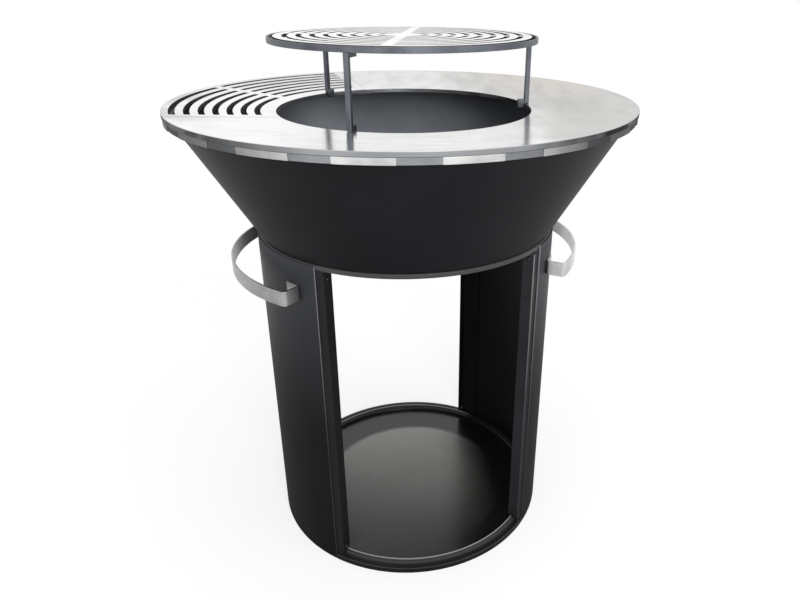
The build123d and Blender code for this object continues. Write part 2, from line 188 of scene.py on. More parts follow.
# %% The finish class
class Finish(Tree):
    """Material on one Principled shader, with its constant sockets set."""

    def __init__(self, name, **constants):
        self.material = bpy.data.materials.new(name)
        self.material.use_nodes = True
        super().__init__(self.material.node_tree)
        self.shader = self.tree.nodes["Principled BSDF"]
        for socket, value in constants.items():
            self.shader.inputs[socket.replace("_", " ")].default_value = value
        coordinates = self.node("ShaderNodeTexCoord")
        self.place = coordinates.out("Object")
        self.normal = coordinates.out("Normal")
        axes = self.node("ShaderNodeSeparateXYZ", {}, [self.place])
        self.across, self.back, self.height = (axes.out(axis) for axis in "XYZ")

    def facing_up(self):
        """1 on faces that look up, 0 on upright faces and -1 on faces that look down."""
        return self.node("ShaderNodeSeparateXYZ", {}, [self.normal]).out("Z")

    def noise(self, size, stretch=(1, 1, 1), bearing=0.0, detail=2.0, shift=0.0):
        """Noise with features of a real size, drawn out in a frame turned to a bearing."""
        turned = self.node("ShaderNodeMapping", {}, {
            "Vector": self.place,
            "Location": (shift, shift, shift),
            "Rotation": (0, 0, radians(-bearing)),
        })
        drawn = self.node("ShaderNodeMapping", {}, {
            "Vector": turned,
            "Scale": [1 / (size * long) for long in stretch],
        })
        return self.node("ShaderNodeTexNoise", {}, {"Vector": drawn, "Scale": 1.0, "Detail": detail})

    def mix(self, amount, first, second):
        """Colour between two colours."""
        settings = {"data_type": "RGBA"}
        colours = [c if isinstance(c, Wire) else (*c, 1.0) for c in (first, second)]
        return self.node("ShaderNodeMix", settings, {0: amount, 6: colours[0], 7: colours[1]}).out(2)

    def bump(self, height, depth):
        """Normal of a surface whose relief is the height times a real depth."""
        return self.node("ShaderNodeBump", {}, {"Height": height, "Distance": depth, "Strength": 1.0})

    def shaded_sides(self):
        """Painted shade on an outer edge: soon on the right, later and less on the left."""
        right = self.across.ramp(0.0, 280 * mm)
        left = (0 - self.across).ramp(200 * mm, 460 * mm)
        return right.does("MAXIMUM", 0.85 * left)

    def feed(self, **wires):
        """Lead wires into the shader's varying sockets, and give the material."""
        for socket, wire in wires.items():
            self.tree.links.new(wire.socket, self.shader.inputs[socket.replace("_", " ")])
        return self.material


print("finishes can be mixed")

# %% [markdown]
# ## Black powder coat
#
# The drum and the bowl carry a satin powder coat: nearly black, a little blue, with a fine orange peel
# of about a millimetre. A flat black would look like a hole in the picture, so the tone drifts over a
# hand's breadth and the gloss with it. Along cut edges and folds the coat runs thin, and a finish of
# its own makes it greyer there as a painted highlight.

# %% Powder coat
def powder_coat(name, deep, pale, roughness, specular=0.2, wear=None):
    """Satin black coat whose tone drifts between two colours, changed by what use has done to it."""
    coat = Finish(name, Specular_IOR_Level=specular)
    drift = coat.noise(140 * mm, detail=3.0)
    peel = coat.noise(1.3 * mm)
    grit = coat.noise(0.45 * mm, detail=1.0)
    tone = coat.mix(drift.ramp(0.3, 0.7), deep, pale)
    return coat.feed(
        Base_Color=wear(coat, tone) if wear else tone,
        Roughness=roughness + 0.1 * drift + 0.08 * grit,
        Normal=coat.bump(peel + 0.5 * grit, 0.05 * mm),
    )


drum_tones = (0.0095, 0.0097, 0.0112), (0.0145, 0.0148, 0.0168)
# Painted light: a lighter coat for the post's leg and folds that face the light.
painted_light_leg_tones = (0.021, 0.022, 0.0255), (0.03, 0.0313, 0.0357)
band_tones = (0.05, 0.051, 0.055), (0.072, 0.073, 0.078)
drum_coat = powder_coat("drum_powder_coat", *drum_tones, 0.36)
painted_light_leg_coat = powder_coat("rubbed_leg_coat", *painted_light_leg_tones, 0.34)
band_coat = powder_coat("band_coat", *band_tones, 0.34, 0.3)
print("even coats:", drum_coat.name, painted_light_leg_coat.name, band_coat.name)

# %% [markdown]
# ## Worn powder coat
#
# Use leaves its marks where something hot or rough comes near, and some rules here paint light and
# shade. Each rule takes the coat's tone and gives it back changed. Inside the bowl, heat and ash have
# bleached the coat to a blue-grey, most of all low down, with painted shade towards the left and right.
# The inside looks up and the outside looks down, so the normal's height tells them apart. The side
# skins get a painted sheen towards the top, edges a painted highlight, and the tray's lip and the ring
# beside it painted light across the openings.

# %% Wear on the coat
def bleached_inside(coat, tone):
    """Coat of the bowl: ash and heat have bleached the inside, most of all low down, shaded at the
    sides.
    """
    ash_blue = (0.58, 0.61, 0.67)
    inside = coat.facing_up().ramp(-0.1, 0.1)
    low = 1 - 0.75 * coat.height.ramp(bowl_top - 180 * mm, bowl_top)
    right = coat.across.ramp(80 * mm, 330 * mm)
    left = (0 - coat.across).ramp(100 * mm, 330 * mm)
    # Painted shade: the bleach falls off towards the left and right.
    middle = 1.15 - 0.55 * right - 0.85 * left
    ash = low * middle * (0.7 + 0.3 * coat.noise(60 * mm, detail=5.0))
    return coat.mix(inside * ash, tone, ash_blue)


def painted_sheen_top(coat, tone):
    """Coat of the side skins: a painted sheen of blue-grey towards the top outside, dull with bark
    inside.
    """
    sheen_blue, bark_black = (0.056, 0.0585, 0.066), (0.012, 0.012, 0.0128)
    outside = coat.measure("DOT_PRODUCT", coat.normal, coat.place).ramp(-0.1, 0.1)
    sheened = coat.mix(coat.height.ramp(300 * mm, 900 * mm), tone, sheen_blue)
    return coat.mix(outside, bark_black, sheened)


def highlight_towards_top(coat, tone):
    """Thin coat on edges, with a painted highlight that grows towards the top."""
    highlight_grey = (0.36, 0.37, 0.385)
    return coat.mix(coat.height.ramp(250 * mm, 850 * mm), tone, highlight_grey)


def in_openings(coat):
    """1 where the log store is open at the front and the back, 0 behind the side skins."""
    # Keeps the painted light on the lip and the ring to where light comes in.
    return (coat.back.does("ABSOLUTE") - coat.across.does("ABSOLUTE")).ramp(-40 * mm, 20 * mm)


def lip_painted_highlight(coat, tone):
    """Coat of the tray's lip: a painted highlight along its top, only across the openings."""
    lit_side_grey, lip_highlight_grey = (0.07, 0.07, 0.07), (0.42, 0.415, 0.4)
    grey = coat.mix(coat.height.ramp(tray_lip_top - 4 * mm, tray_lip_top), lit_side_grey, lip_highlight_grey)
    return coat.mix(in_openings(coat), tone, grey)


def ring_painted_light(coat, tone):
    """Coat of the base ring: painted light on its upper face next to the tray, across the openings."""
    lit_grey = (0.12, 0.119, 0.116)
    distance = coat.measure("LENGTH", coat.place)
    next_to_tray = 1 - distance.ramp(tray_lip_radius, tray_lip_radius + 15 * mm)
    painted_light_share = coat.facing_up().ramp(0.6, 0.9) * next_to_tray * in_openings(coat)
    return coat.mix(painted_light_share, tone, lit_grey)


print("wear rules are ready")

# %% Worn coats
skin_tones = (0.004, 0.0041, 0.0046), (0.0064, 0.0065, 0.0074)
bowl_tones = (0.0058, 0.006, 0.0076), (0.009, 0.0093, 0.0114)
# Painted highlight: the edge coat is much lighter than the drum's, and lightest towards the top.
edge_highlight_tones = (0.05, 0.051, 0.055), (0.08, 0.082, 0.087)
skin_coat = powder_coat("skin_powder_coat", *skin_tones, 0.36, 0.14, painted_sheen_top)
bowl_coat = powder_coat("bowl_powder_coat", *bowl_tones, 0.46, 0.24, bleached_inside)
edge_highlight_coat = powder_coat("thin_edge_coat", *edge_highlight_tones, 0.34, wear=highlight_towards_top)
ring_coat = powder_coat("base_ring_coat", *drum_tones, 0.36, wear=ring_painted_light)
lip_coat = powder_coat("tray_lip_coat", *drum_tones, 0.34, wear=lip_painted_highlight)
print("worn coats:", skin_coat.name, bowl_coat.name, edge_highlight_coat.name, ring_coat.name, lip_coat.name)

# %% [markdown]
# ## The tray's coat
#
# The floor of the log store has a smoother, glossier grey coat with fine scuffs. Its middle is painted
# pale as a reflection of the white backdrop, most of all towards the back. A mask that falls with the
# distance from the middle paints the rim dark, and a second one paints shade on the right side.

# %% Tray finish
def tray_coat():
    """Semi-gloss dark grey coat, with a painted pale reflection in the middle of the tray."""
    dark, pale, scratch = (0.008, 0.008, 0.0076), (0.43, 0.42, 0.4), (0.16, 0.156, 0.148)
    reflection_middle = (0.0, -26 * mm, 0.0)
    coat = Finish("tray_coat", Specular_IOR_Level=0.57)
    cloud = coat.noise(90 * mm, detail=4.0)
    scuff = coat.noise(3 * mm, stretch=(30, 1, 1), bearing=35.0, detail=3.0)
    # Painted reflection: pale towards the middle and back, with painted shade at the rim and on the
    # right.
    rim = coat.measure("DISTANCE", coat.place, reflection_middle).ramp(232 * mm, 252 * mm)
    inward = (coat.back + 0.25 * coat.across).ramp(-270 * mm, 270 * mm)
    shaded_right = (coat.across - 0.1 * coat.back).ramp(80 * mm, 240 * mm)
    painted_light_share = (1 - rim) * inward * (1 - shaded_right) * (0.8 + 0.4 * cloud)
    return coat.feed(
        Base_Color=coat.mix(0.08 * scuff.ramp(0.58, 0.75), coat.mix(painted_light_share, dark, pale), scratch),
        Roughness=0.2 + 0.08 * cloud + 0.06 * painted_light_share,
        Normal=coat.bump(coat.noise(1.6 * mm), 0.03 * mm),
    )


tray_finish = tray_coat()
print("tray coat:", tray_finish.name)

# %% [markdown]
# ## Ground steel
#
# The cooking plate is steel ground in one direction. The grain is noise drawn out a hundredfold along
# a bearing. Slow clouds of oil film and heat tint, with a painted reflection, warm the grey towards
# straw, most of all at the back right, and a band in front of it was never wiped clean. Cut edges are
# duller, and painted shade makes them darkest at the sides. The underside has its mill scale, whose
# dark colour also paints the shade on the lower rounding. The way a face points tells the three apart.

# %% The face that food lies on
grain_bearing = -15.0
wipe_bearing = 74.0
band_bearing = 66.0


def used_face(steel, tone, tint_and_reflection_share, smear, cloud):
    """Used face: oil film, heat tint and painted reflection, wipes, an unwiped band and a dirty rim."""
    film_grey, straw_film_and_reflection = (0.38, 0.368, 0.352), (0.47, 0.4, 0.335)
    smear_grey, band_grey, dirt_grey = (0.27, 0.26, 0.246), (0.25, 0.237, 0.225), (0.34, 0.333, 0.32)
    # Painted reflection as well as heat tint: warmer towards the right and the back.
    tint_and_reflection = (steel.across + 0.3 * cloud).ramp(0.1, 0.5)
    tint_and_reflection = tint_and_reflection.does("MAXIMUM", 0.5 * steel.back.ramp(150 * mm, 400 * mm))
    back_right_tint_and_reflection = steel.across.ramp(240 * mm, 440 * mm) * steel.back.ramp(-50 * mm, 200 * mm)
    warm = steel.mix(tint_and_reflection_share * tint_and_reflection, tone, steel.mix(back_right_tint_and_reflection, film_grey, straw_film_and_reflection))
    smeared = steel.mix((0.06 + 0.36 * tint_and_reflection) * smear.ramp(0.4, 0.75), warm, smear_grey)
    along, athwart = (
        steel.measure("DOT_PRODUCT", steel.place, polar(1.0, bearing).to_3d())
        for bearing in (band_bearing - 90.0, band_bearing)
    )
    unwiped = along.ramp(300 * mm, 345 * mm) * (1 - along.ramp(385 * mm, 480 * mm))
    unwiped = unwiped * (1 - athwart.ramp(0.0, 240 * mm))
    banded = steel.mix(0.5 * tint_and_reflection_share * unwiped, smeared, band_grey)
    flat = steel.node("ShaderNodeVectorMath", {"operation": "MULTIPLY"}, [steel.place, (1, 1, 0)])
    rim = steel.measure("LENGTH", flat).ramp(plate_radius - 7 * mm, plate_radius)
    tip = (0 - steel.across).ramp(360 * mm, 500 * mm) * cloud.ramp(0.35, 0.6)
    return steel.mix((0.75 * tip).does("MAXIMUM", 0.6 * rim), banded, dirt_grey)


print("grain along", grain_bearing, "degrees, wiped along", wipe_bearing)

# %% Ground steel finishes
def ground_steel(name, bright, dull, edge, roughness, tint_and_reflection_share):
    """Ground plate: straight grain on bright faces, duller edges, mill scale and painted shade below.
    """
    shade_black, scale_and_shade_black = (0.02, 0.02, 0.021), (0.045, 0.046, 0.05)
    steel = Finish(name, Specular_IOR_Level=0.03)
    grain = steel.noise(0.5 * mm, stretch=(90, 1, 1), bearing=grain_bearing)
    streak = steel.noise(6 * mm, stretch=(18, 1, 1), bearing=grain_bearing, detail=4.0)
    smear = steel.noise(42 * mm, stretch=(3, 1, 1), bearing=wipe_bearing, detail=1.0, shift=1.9)
    cloud = steel.noise(110 * mm, detail=4.0, shift=0.37)
    tone = steel.mix(0.45 * streak.ramp(0.4, 0.7) + 0.4 * cloud.ramp(0.45, 0.75), bright, dull)
    up = steel.facing_up()
    level = up.ramp(0.5, 0.8)
    painted_shade = (1 - level) * steel.shaded_sides() * (1 - 0.3 * smear.ramp(0.4, 0.65))
    edge_tone = steel.mix(painted_shade, edge, shade_black)
    faces = steel.mix(level, edge_tone, used_face(steel, tone, tint_and_reflection_share, smear, cloud))
    # Downward faces: mill scale, and painted shade on the plate's lower rounding.
    return steel.feed(
        Base_Color=steel.mix((0 - up).ramp(0.35, 0.6), faces, scale_and_shade_black),
        Metallic=1 - 0.9 * painted_shade,
        Roughness=roughness + 0.08 * streak + 0.06 * grain + 0.16 * (1 - level) + 0.2 * painted_shade,
        Normal=steel.bump(grain + 0.6 * streak, 0.02 * mm),
    )


plate_finish = ground_steel(
    "plate_ground_steel", (0.98, 0.985, 0.985), (0.8, 0.8, 0.795), (0.29, 0.3, 0.312), 0.1, 0.82
)
grate_finish = ground_steel(
    "grate_ground_steel", (0.96, 0.96, 0.955), (0.8, 0.795, 0.785), (0.1, 0.102, 0.108), 0.2, 0.2
)
print("ground steel:", plate_finish.name, grate_finish.name)

# %% [markdown]
# ## Bar steel and stainless
#
# The raised stand is dark bar stock with its blue-grey mill skin. The handles and the rim are brushed
# stainless, and their brush lines run along the bar: noise that changes quickly up the bar and slowly
# along it. One recipe serves them all, and the screws and bolts too, each with its own colours and
# brush. The left handle is given darker colours than the right as painted shade, and a rule paints
# more shade on its back and on the sides of the ring under the plate.

# %% The recipe for bars
def brushed_bar(name, dark, light, roughness, stretch, relief, painted_shade=None):
    """Metal with brush lines drawn out along its axes, slow clouds, and painted shade where a rule puts
    it.
    """
    shade_black = (0.03, 0.03, 0.031)
    bar = Finish(name, Metallic=1.0, Specular_IOR_Level=0.03)
    brush = bar.noise(0.45 * mm, stretch=stretch, detail=3.0)
    cloud = bar.noise(45 * mm, detail=3.0)
    metal = bar.mix(0.6 * cloud.ramp(0.3, 0.7) + 0.4 * brush.ramp(0.3, 0.7), dark, light)
    rough = roughness + 0.14 * brush + 0.08 * cloud
    normal = bar.bump(brush, relief)
    if not painted_shade:
        return bar.feed(Base_Color=metal, Roughness=rough, Normal=normal)
    share = painted_shade(bar) * (0.8 + 0.4 * cloud).does("MINIMUM", 1.0)
    return bar.feed(
        Base_Color=bar.mix(share, metal, shade_black),
        Metallic=1 - share,
        Roughness=rough + 0.2 * share,
        Normal=normal,
    )


def rim_shaded_sides(bar):
    """Share of painted shade on the sides of the ring under the plate."""
    return 0.85 * bar.shaded_sides()


def shaded_back(bar):
    """Share of painted shade on the left handle, towards the back."""
    return 0.6 * bar.back.ramp(0.0, 200 * mm)


print("one recipe for bars, with or without soot")

# %% Bar finishes
along_handle, along_rim = (60, 60, 1), (50, 50, 1)
brush_depth, skin_depth, turned_depth = 0.02 * mm, 0.03 * mm, 0.01 * mm
stand_finish = brushed_bar(
    "stand_mill_steel", (0.08, 0.086, 0.1), (0.15, 0.16, 0.18), 0.34, (6, 6, 6), skin_depth
)
# Painted light and shade: the left handle's colours are darker than the right's.
shaded_left_handle_finish = brushed_bar(
    "left_handle_stainless", (0.28, 0.28, 0.278), (0.5, 0.5, 0.495), 0.24, along_handle, brush_depth,
    shaded_back,
)
lit_right_handle_finish = brushed_bar(
    "right_handle_stainless", (0.5, 0.5, 0.5), (0.82, 0.82, 0.82), 0.24, along_handle, brush_depth
)
pad_finish = brushed_bar(
    "pad_bright_stainless", (0.46, 0.46, 0.46), (0.68, 0.68, 0.675), 0.26, along_rim, brush_depth,
    rim_shaded_sides,
)
land_finish = brushed_bar(
    "rim_grey_stainless", (0.19, 0.198, 0.208), (0.31, 0.32, 0.332), 0.34, along_rim, brush_depth,
    rim_shaded_sides,
)
screw_finish = brushed_bar(
    "screw_blackened_steel", (0.03, 0.031, 0.034), (0.07, 0.072, 0.078), 0.28, (4, 4, 4), turned_depth
)
zinc_finish = brushed_bar(
    "bolt_bright_zinc", (0.42, 0.43, 0.45), (0.62, 0.63, 0.66), 0.26, (5, 5, 5), turned_depth
)
print("bar finishes:", stand_finish.name, shaded_left_handle_finish.name, pad_finish.name)

# %% [markdown]
# ## Growing pieces with geometry nodes
#
# A tree is built once, with named inputs, and run for each piece that follows its rule. The object's
# mesh is then replaced by the plain result, because only plain meshes ride on bodies. Sharp edges get
# a bevel, and weighted normals keep flat faces flat right up to it.

# %% Run a tree, keep the mesh
def new_growth(name, inputs):
    """New geometry tree with named inputs: the tree, and one wire for each input."""
    group = bpy.data.node_groups.new(name, "GeometryNodeTree")
    for label, kind in inputs.items():
        group.interface.new_socket(label, in_out="INPUT", socket_type="NodeSocket" + kind)
    group.interface.new_socket("Piece", in_out="OUTPUT", socket_type="NodeSocketGeometry")
    tree = Tree(group)
    given = group.nodes.new("NodeGroupInput")
    return tree, {label: Wire(tree, given.outputs[label]) for label in inputs}


def end_growth(tree, geometry, material):
    """Last nodes of every tree: real meshes, and their finish."""
    real = tree.node("GeometryNodeRealizeInstances", {}, [geometry])
    finished = tree.node("GeometryNodeSetMaterial", {}, {"Geometry": real, "Material": material})
    tree.node("NodeGroupOutput", {}, [finished])


def new_object(name, mesh=None):
    """Object at the origin, in the scene."""
    made = bpy.data.objects.new(name, mesh or bpy.data.meshes.new(name))
    bpy.context.collection.objects.link(made)
    return made


def baked(piece):
    """The piece with its modifiers turned into a plain mesh."""
    graph = bpy.context.evaluated_depsgraph_get()
    mesh = bpy.data.meshes.new_from_object(piece.evaluated_get(graph))
    piece.modifiers.clear()
    piece.data = mesh
    return piece


double_distance = 0.001 * mm


def outward(piece):
    """The piece with doubles merged and every face pointing outwards."""
    shape = bmesh.new()
    shape.from_mesh(piece.data)
    bmesh.ops.remove_doubles(shape, verts=shape.verts, dist=double_distance)
    bmesh.ops.recalc_face_normals(shape, faces=shape.faces)
    shape.to_mesh(piece.data)
    shape.free()
    return piece


def grow(name, tree, **values):
    """Run a tree and clear its helper objects away; underscores in names stand for spaces."""
    piece = new_object(name)
    modifier = piece.modifiers.new("Growth", "NODES")
    modifier.node_group = tree.tree
    for item in tree.tree.interface.items_tree:
        if item.in_out == "INPUT":
            modifier[item.identifier] = values[item.name.replace(" ", "_")]
    outward(baked(piece))
    for helper in values.values():
        if isinstance(helper, bpy.types.Object):
            bpy.data.objects.remove(helper)
    return piece


sharp_angle = 40.0


def smooth(piece):
    """Smooth shading that stops at sharp edges and keeps flat faces flat."""
    piece.data.polygons.foreach_set("use_smooth", [True] * len(piece.data.polygons))
    piece.data.set_sharp_from_angle(angle=radians(sharp_angle))
    piece.modifiers.new("Flat faces", "WEIGHTED_NORMAL").keep_sharp = True
    return baked(piece)


def broken_edges(piece, width, steps=2, finish_slot=-1, limit=50.0):
    """Bevel every edge sharper than a limit, with a finish of its own if a slot is given."""
    bevel = piece.modifiers.new("Broken edges", "BEVEL")
    bevel.width = width
    bevel.segments = steps
    bevel.limit_method = "ANGLE"
    bevel.angle_limit = radians(limit)
    bevel.material = finish_slot
    return smooth(baked(piece))


def dress(piece, node=None, body=None):
    """Let a finished piece ride on the body of the node that it stands for, or on a given body."""
    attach(piece, body or body_of_node[node])
    if node:
        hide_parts(node)
    print(piece.name, len(piece.data.polygons), "faces for", node or "a weld")


print("growing tools are ready")

# %% [markdown]
# ## A bar that is rolled
#
# Rings, the bowl, the plate and the tray are all round. A maker rolls a straight bar or sheet into a
# hoop, and the tree does the same: it sweeps a section along a straight line, then bends the line
# round the axis. Blender's Spin or Screw could turn the section too, but a named rounding at each
# corner of the section is easy here: every point carries its own, and Fillet Curve reads it.

# %% The rolling tree
def loop_object(name, points, closed=True):
    """Line of points (x, y, z, rounding), as a mesh of edges with the rounding on each point."""
    mesh = bpy.data.meshes.new(name)
    edges = [(index, index + 1) for index in range(len(points) - 1)]
    if closed:
        edges.append((len(points) - 1, 0))
    mesh.from_pydata([point[:3] for point in points], edges, [])
    rounding = mesh.attributes.new("rounding", "FLOAT", "POINT")
    rounding.data.foreach_set("value", [point[3] for point in points])
    return new_object(name, mesh)


def shape_of(tree, source):
    """Geometry of an object that a tree is given."""
    return tree.node("GeometryNodeObjectInfo", {}, {"Object": source}).out("Geometry")


def rounded_loop(tree, source, steps):
    """Curve of a loop object with its corners rounded."""
    curve = tree.node("GeometryNodeMeshToCurve", {}, [shape_of(tree, source)])
    radius = tree.node("GeometryNodeInputNamedAttribute", {"data_type": "FLOAT"}, {"Name": "rounding"})
    return tree.node("GeometryNodeFilletCurve", {"mode": "POLY"}, {
        "Curve": curve, "Count": steps, "Radius": radius, "Limit Radius": True,
    })


def rolling_tree():
    """Tree that sweeps a section along a line and rolls the line round the axis."""
    tree, given = new_growth("Rolled section", {
        "Section": "Object", "Round Steps": "Int", "Steps": "Int",
        "Start": "Float", "Sweep": "Float", "Caps": "Bool", "Finish": "Material",
    })
    section = rounded_loop(tree, given["Section"], given["Round Steps"])
    line = tree.node("GeometryNodeCurvePrimitiveLine", {}, {"Start": (0, 0, 0), "End": (0, 0, 1)})
    path = tree.node("GeometryNodeResampleCurve", {}, {"Curve": line, "Count": given["Steps"] + 1})
    straight = tree.node("GeometryNodeCurveToMesh", {}, {
        "Curve": path, "Profile Curve": section, "Fill Caps": given["Caps"],
    })
    radius = tree.node("ShaderNodeSeparateXYZ", {}, [tree.node("GeometryNodeInputPosition")])
    bearing = given["Start"] + given["Sweep"] * radius.out("Z")
    place = tree.node("ShaderNodeCombineXYZ", {}, [
        radius * bearing.does("COSINE"), radius * bearing.does("SINE"), radius.out("Y"),
    ])
    hoop = tree.node("GeometryNodeSetPosition", {}, {"Geometry": straight, "Position": place})
    merge = {"Geometry": hoop, "Distance": double_distance}
    closed = tree.node("GeometryNodeMergeByDistance", {}, merge)
    end_growth(tree, closed, given["Finish"])
    return tree


rolled_section = rolling_tree()
whole_steps = 288


def rolled(name, section, finish, start=0.0, sweep=360.0):
    """Hoop of a section of (radius, level, rounding), through a sweep in degrees."""
    source = loop_object(name + "_section", [(r, z, 0.0, rounding) for r, z, rounding in section])
    return grow(
        name, rolled_section, Section=source, Round_Steps=4, Steps=round(whole_steps * sweep / 360),
        Start=radians(start), Sweep=radians(sweep), Caps=sweep < 360, Finish=finish,
    )


print("rolling tree:", len(rolled_section.tree.nodes), "nodes")

# %% [markdown]
# ## The fire bowl
#
# The bowl is a flat floor, a straight flared wall and a flange, from 3 mm sheet. Its section runs once
# round the sheet. The bends have a press-brake radius of a few millimetres, and the free edge is only
# broken.

# %% Bowl
bowl_sheet = 3 * mm
bowl_base_radius = 336 * mm
bowl_rim_radius = plate_radius - 20 * mm
bend = 5 * mm
edge = 0.9 * mm
flare = (bowl_rim_radius - bowl_base_radius) / (bowl_top - bowl_sheet - bowl_under)
wall = bowl_sheet * (hypot(1, flare) - flare)
fire_bowl = rolled("bowl_shell", [
    (0.0, bowl_under, 0.0),
    (bowl_base_radius, bowl_under, bend),
    (bowl_rim_radius, bowl_top - bowl_sheet, 0.6 * bend),
    (bowl_flange_radius, bowl_top - bowl_sheet, edge),
    (bowl_flange_radius, bowl_top, edge),
    (bowl_rim_radius - wall, bowl_top, bend),
    (bowl_base_radius - wall, bowl_under + bowl_sheet, 0.6 * bend),
    (0.0, bowl_under + bowl_sheet, 0.0),
], bowl_coat)
dress(smooth(fire_bowl), "fire_bowl")

# %% [markdown]
# ## The drum's rings and the tray
#
# The drum hangs between two rings. The top ring is an angle whose flat side carries the bowl. The tray
# is a disc with a thin strip rolled round it, and the strip's top edge, rubbed by logs, is the bright
# line in the log store. The base ring is cut from thick plate and follows with the posts, because it
# steps in behind the side skins.

# %% Rings and tray
top_sheet = 3 * mm
seat_inner_radius = 296 * mm
tray_sheet = 2 * mm
sheared = 0.3 * mm
top_ring = rolled("top_hoop", [
    (seat_inner_radius, drum_top - top_sheet, edge),
    (frame_radius - top_sheet, drum_top - top_sheet, 1.5 * mm),
    (frame_radius - top_sheet, top_band_under, edge),
    (frame_radius, top_band_under, edge),
    (frame_radius, drum_top, 2.5 * mm),
    (seat_inner_radius, drum_top, edge),
], band_coat)
tray_floor = rolled("tray_sheet", [
    (0.0, tray_under, 0.0),
    (tray_floor_radius, tray_under, sheared),
    (tray_floor_radius, tray_top, sheared),
    (0.0, tray_top, 0.0),
], tray_finish)
tray_lip = rolled("tray_rolled_lip", [
    (tray_lip_radius - tray_sheet, tray_lip_under, sheared),
    (tray_lip_radius, tray_lip_under, sheared),
    (tray_lip_radius, tray_lip_top, edge),
    (tray_lip_radius - tray_sheet, tray_lip_top, edge),
], lip_coat)
dress(smooth(top_ring), "top_ring")
dress(smooth(tray_floor), "tray_floor")
dress(smooth(tray_lip), "tray_lip")

# %% [markdown]
# ## Posts, side skins and base ring
#
# These are folded, rolled or cut plate with holes and steps, and the frame already has those right. So
# a copy of the frame's mesh is merged, its flat triangles are joined, and the sharp edges are bevelled.
# The fold between a post's strip and its leg gets a wider round than the cut edges. Cut edges get a
# painted highlight in the grey edge coat, as do the sheared faces at the skins' ends. The front right
# post's leg that looks into the opening gets painted light, and the folds too, brighter on the right.

# %% Tools for folded plate
def frame_copy(node, name, *finishes):
    """Copy of a node's mesh whose loose triangles are merged into whole faces."""
    shape = bmesh.new()
    shape.from_mesh(frame["nodes"][node].data)
    bmesh.ops.remove_doubles(shape, verts=shape.verts, dist=double_distance)
    bmesh.ops.dissolve_limit(shape, angle_limit=radians(0.2), verts=shape.verts, edges=shape.edges)
    copy = new_object(name)
    shape.to_mesh(copy.data)
    shape.free()
    if "custom_normal" in copy.data.attributes:
        copy.data.attributes.remove(copy.data.attributes["custom_normal"])
    copy.data.materials.clear()
    for finish in finishes:
        copy.data.materials.append(finish)
    return copy


long_edge = 500 * mm
squarely, slightly = 0.95, 0.3


def round_fold(piece, corner, radius, finish_slot):
    """Round the upright edge nearest to a corner seen from above, in a finish of its own."""
    shape = bmesh.new()
    shape.from_mesh(piece.data)
    upright = [e for e in shape.edges if abs(e.verts[0].co.z - e.verts[1].co.z) > long_edge]
    fold = min(upright, key=lambda e: (e.verts[0].co.xy - corner).length)
    bmesh.ops.bevel(
        shape, geom=[fold], offset=radius, segments=5, profile=0.5, affect="EDGES", material=finish_slot
    )
    shape.to_mesh(piece.data)
    shape.free()


def leg_painted_light(piece, bearing):
    """Give the third finish, painted light, to the upright faces of a post that look into the opening.
    """
    inwards = polar(1.0, bearing)
    for face in piece.data.polygons:
        if face.normal.xy.dot(inwards) > squarely:
            face.material_index = 2


def highlighted_ends(piece):
    """Give upright faces that don't look along a radius the second finish, a painted highlight."""
    for face in piece.data.polygons:
        outwards = face.center.xy.normalized()
        if abs(face.normal.z) < slightly and abs(face.normal.xy.dot(outwards)) < slightly:
            face.material_index = 1
    return piece


print("plate can be copied, rounded and rubbed")

# %% Posts, skins and base ring
window_half_angle = 41.2
fold_radius = 3 * mm
post_edge, skin_edge, ring_edge = 0.6 * mm, 0.7 * mm, 1.2 * mm
for end, middle in (("front", -90.0), ("back", 90.0)):
    for side, turn in (("right", -1), ("left", 1)):
        node = f"{end}_{side}_post"
        bearing = middle + (turn if end == "back" else -turn) * window_half_angle
        post = frame_copy(node, node + "_folded", drum_coat, edge_highlight_coat, painted_light_leg_coat)
        # Painted light: the front right post's leg and the right posts' folds get lighter coats.
        if node == "front_right_post":
            leg_painted_light(post, bearing - 90.0)
        round_fold(post, polar(frame_radius, bearing), fold_radius, 1 if side == "right" else 2)
        dress(broken_edges(post, post_edge, finish_slot=1), node)
for side in ("right", "left"):
    skin = highlighted_ends(frame_copy(side + "_panel", side + "_skin", skin_coat, edge_highlight_coat))
    dress(broken_edges(skin, skin_edge, finish_slot=1), side + "_panel")
base_ring = frame_copy("base_ring", "base_hoop", ring_coat, edge_highlight_coat)
dress(broken_edges(base_ring, ring_edge, steps=3, finish_slot=1), "base_ring")

# %% [markdown]
# ## Bow handles
#
# A handle is one flat bar: a tab on the skin, a leg out, a wide bow and back again. Its centre line is
# drawn from arcs and two sharp corners. A sweep along the line follows the bend as a folding tool
# would, with the bar's own section kept upright all the way.

# %% The bending tree
def bending_tree():
    """Tree that sweeps a section along a level line with rounded corners."""
    tree, given = new_growth("Bent bar", {
        "Line": "Object", "Section": "Object", "Round Steps": "Int", "Finish": "Material",
    })
    line = rounded_loop(tree, given["Line"], given["Round Steps"])
    level = tree.node("GeometryNodeSetCurveNormal", {"mode": "Z_UP"}, [line])
    section = rounded_loop(tree, given["Section"], given["Round Steps"])
    bar = tree.node("GeometryNodeCurveToMesh", {}, {
        "Curve": level, "Profile Curve": section, "Fill Caps": True,
    })
    end_growth(tree, bar, given["Finish"])
    return tree


bent_bar = bending_tree()
print("bending tree:", len(bent_bar.tree.nodes), "nodes")

